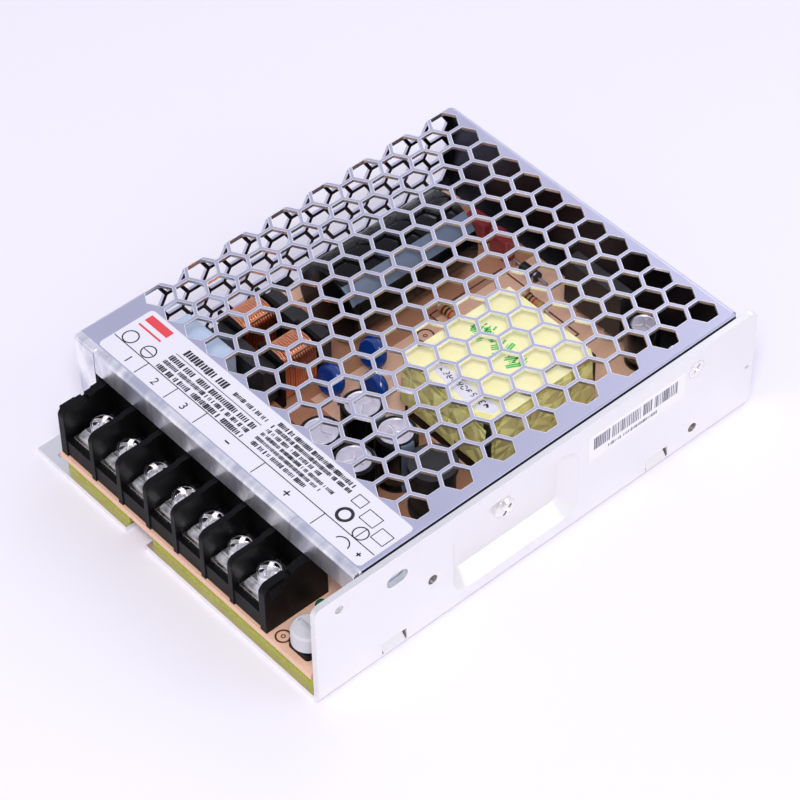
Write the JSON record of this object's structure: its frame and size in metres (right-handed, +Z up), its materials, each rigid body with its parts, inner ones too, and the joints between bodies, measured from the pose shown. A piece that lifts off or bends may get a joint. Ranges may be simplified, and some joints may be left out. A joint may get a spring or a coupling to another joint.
{
  "type": "mesh case switching power supply",
  "caption": "Folded aluminium case with a hexagonally perforated cover over a power circuit board, with a row of screw terminals and a trimmer at one edge.",
  "frame": {"origin": "middle of the footprint, on the floor", "axes": "+X to the solid side wall, +Y to the rear edge away from the terminals, +Z up"},
  "size_m": [0.0971, 0.129, 0.03],
  "materials": {
    "case_aluminium": "mill finish sheet",
    "cover_aluminium": "mill finish sheet, punched",
    "insulating_film": "ribbed film",
    "board_laminate": "paper-based laminate",
    "black_plastic": "moulded",
    "tinned_brass": "tinned",
    "pale_plastic": "moulded",
    "green_lens": "tinted epoxy",
    "ferrite": "ground ferrite",
    "copper_wire": "enamelled wire",
    "yellow_tape": "polyester tape",
    "capacitor_sleeve": "shrunk sleeve",
    "pale_blue_plastic": "moulded box",
    "blue_ceramic": "dipped coating",
    "green_coating": "dipped coating",
    "blue_coating": "dipped coating",
    "brown_coating": "dipped coating with colour bands",
    "tinned_wire": "tinned copper wire",
    "red_coating": "dipped coating",
    "grey_pad": "filled silicone",
    "spring_steel": "plated strip",
    "plated_steel": "nickel plated",
    "copper_plate": "passivated plating",
    "label_film": "printed film"
  },
  "bodies": {
    "root": {"chassis": "case_aluminium", "cover": "cover_aluminium", "insulating_film": "insulating_film", "circuit_board": "board_laminate", "terminal_block": "black_plastic", "terminal_contacts": "tinned_brass", "trimmer_body": "black_plastic", "indicator_lamp": "green_lens", "transformer_core": "ferrite", "transformer_bobbin": "black_plastic", "transformer_winding": "copper_wire", "transformer_wrap": "yellow_tape", "reservoir_capacitor": "capacitor_sleeve", "filter_core": "ferrite", "filter_bobbins": "black_plastic", "filter_windings": "copper_wire", "interference_capacitor": "pale_blue_plastic", "disc_capacitors": "blue_ceramic", "output_capacitors": "capacitor_sleeve", "output_choke": "ferrite", "fuse": "pale_plastic", "thermistor": "green_coating", "varistor": "blue_coating", "bridge_rectifier": "black_plastic", "switching_transistor": "black_plastic", "output_rectifier": "black_plastic", "heat_pad": "grey_pad", "device_clamp": "spring_steel", "clamp_screw": "copper_plate", "cover_screws": "plated_steel", "board_screws": "plated_steel", "optocoupler": "pale_plastic", "auxiliary_capacitor": "capacitor_sleeve", "small_film_capacitors": "red_coating", "snubber_diode": "black_plastic", "board_resistors": "brown_coating", "wire_links": "tinned_wire", "rating_label": "label_film", "barcode_label": "label_film"},
    "clamp_1": {"clamp_washer_1": "plated_steel"},
    "screw_1": {"terminal_screw_1": "plated_steel"},
    "clamp_2": {"clamp_washer_2": "plated_steel"},
    "screw_2": {"terminal_screw_2": "plated_steel"},
    "clamp_3": {"clamp_washer_3": "plated_steel"},
    "screw_3": {"terminal_screw_3": "plated_steel"},
    "clamp_4": {"clamp_washer_4": "plated_steel"},
    "screw_4": {"terminal_screw_4": "plated_steel"},
    "clamp_5": {"clamp_washer_5": "plated_steel"},
    "screw_5": {"terminal_screw_5": "plated_steel"},
    "clamp_6": {"clamp_washer_6": "plated_steel"},
    "screw_6": {"terminal_screw_6": "plated_steel"},
    "clamp_7": {"clamp_washer_7": "plated_steel"},
    "screw_7": {"terminal_screw_7": "plated_steel"},
    "trimmer_shaft": {"trimmer_knob": "pale_plastic"}
  },
  "joints": [
    {"name": "clamp_lift_1", "type": "slide", "parent": "root", "child": "clamp_1", "axis": [0, 0, 1], "range_m": [0, 0.0025]},
    {"name": "screw_turn_1", "type": "hinge", "parent": "clamp_1", "child": "screw_1", "pos_m": [-0.03225, -0.057, 0.0145], "axis": [0, 0, 1], "range_deg": [0, 1510]},
    {"name": "clamp_lift_2", "type": "slide", "parent": "root", "child": "clamp_2", "axis": [0, 0, 1], "range_m": [0, 0.0025]},
    {"name": "screw_turn_2", "type": "hinge", "parent": "clamp_2", "child": "screw_2", "pos_m": [-0.02275, -0.057, 0.0145], "axis": [0, 0, 1], "range_deg": [0, 1510]},
    {"name": "clamp_lift_3", "type": "slide", "parent": "root", "child": "clamp_3", "axis": [0, 0, 1], "range_m": [0, 0.0025]},
    {"name": "screw_turn_3", "type": "hinge", "parent": "clamp_3", "child": "screw_3", "pos_m": [-0.01325, -0.057, 0.0145], "axis": [0, 0, 1], "range_deg": [0, 1510]},
    {"name": "clamp_lift_4", "type": "slide", "parent": "root", "child": "clamp_4", "axis": [0, 0, 1], "range_m": [0, 0.0025]},
    {"name": "screw_turn_4", "type": "hinge", "parent": "clamp_4", "child": "screw_4", "pos_m": [-0.00375, -0.057, 0.0145], "axis": [0, 0, 1], "range_deg": [0, 1510]},
    {"name": "clamp_lift_5", "type": "slide", "parent": "root", "child": "clamp_5", "axis": [0, 0, 1], "range_m": [0, 0.0025]},
    {"name": "screw_turn_5", "type": "hinge", "parent": "clamp_5", "child": "screw_5", "pos_m": [0.00575, -0.057, 0.0145], "axis": [0, 0, 1], "range_deg": [0, 1510]},
    {"name": "clamp_lift_6", "type": "slide", "parent": "root", "child": "clamp_6", "axis": [0, 0, 1], "range_m": [0, 0.0025]},
    {"name": "screw_turn_6", "type": "hinge", "parent": "clamp_6", "child": "screw_6", "pos_m": [0.01525, -0.057, 0.0145], "axis": [0, 0, 1], "range_deg": [0, 1510]},
    {"name": "clamp_lift_7", "type": "slide", "parent": "root", "child": "clamp_7", "axis": [0, 0, 1], "range_m": [0, 0.0025]},
    {"name": "screw_turn_7", "type": "hinge", "parent": "clamp_7", "child": "screw_7", "pos_m": [0.02475, -0.057, 0.0145], "axis": [0, 0, 1], "range_deg": [0, 1510]},
    {"name": "trimmer_turn", "type": "hinge", "parent": "root", "child": "trimmer_shaft", "pos_m": [0.0399, -0.0595, 0.0095], "axis": [0, 0, 1], "range_deg": [-135, 135]}
  ],
  "couplings": [
    {"joint": "screw_turn_1", "follows": "clamp_lift_1", "rad_per_m": 10472},
    {"joint": "screw_turn_2", "follows": "clamp_lift_2", "rad_per_m": 10472},
    {"joint": "screw_turn_3", "follows": "clamp_lift_3", "rad_per_m": 10472},
    {"joint": "screw_turn_4", "follows": "clamp_lift_4", "rad_per_m": 10472},
    {"joint": "screw_turn_5", "follows": "clamp_lift_5", "rad_per_m": 10472},
    {"joint": "screw_turn_6", "follows": "clamp_lift_6", "rad_per_m": 10472},
    {"joint": "screw_turn_7", "follows": "clamp_lift_7", "rad_per_m": 10472}
  ]
}
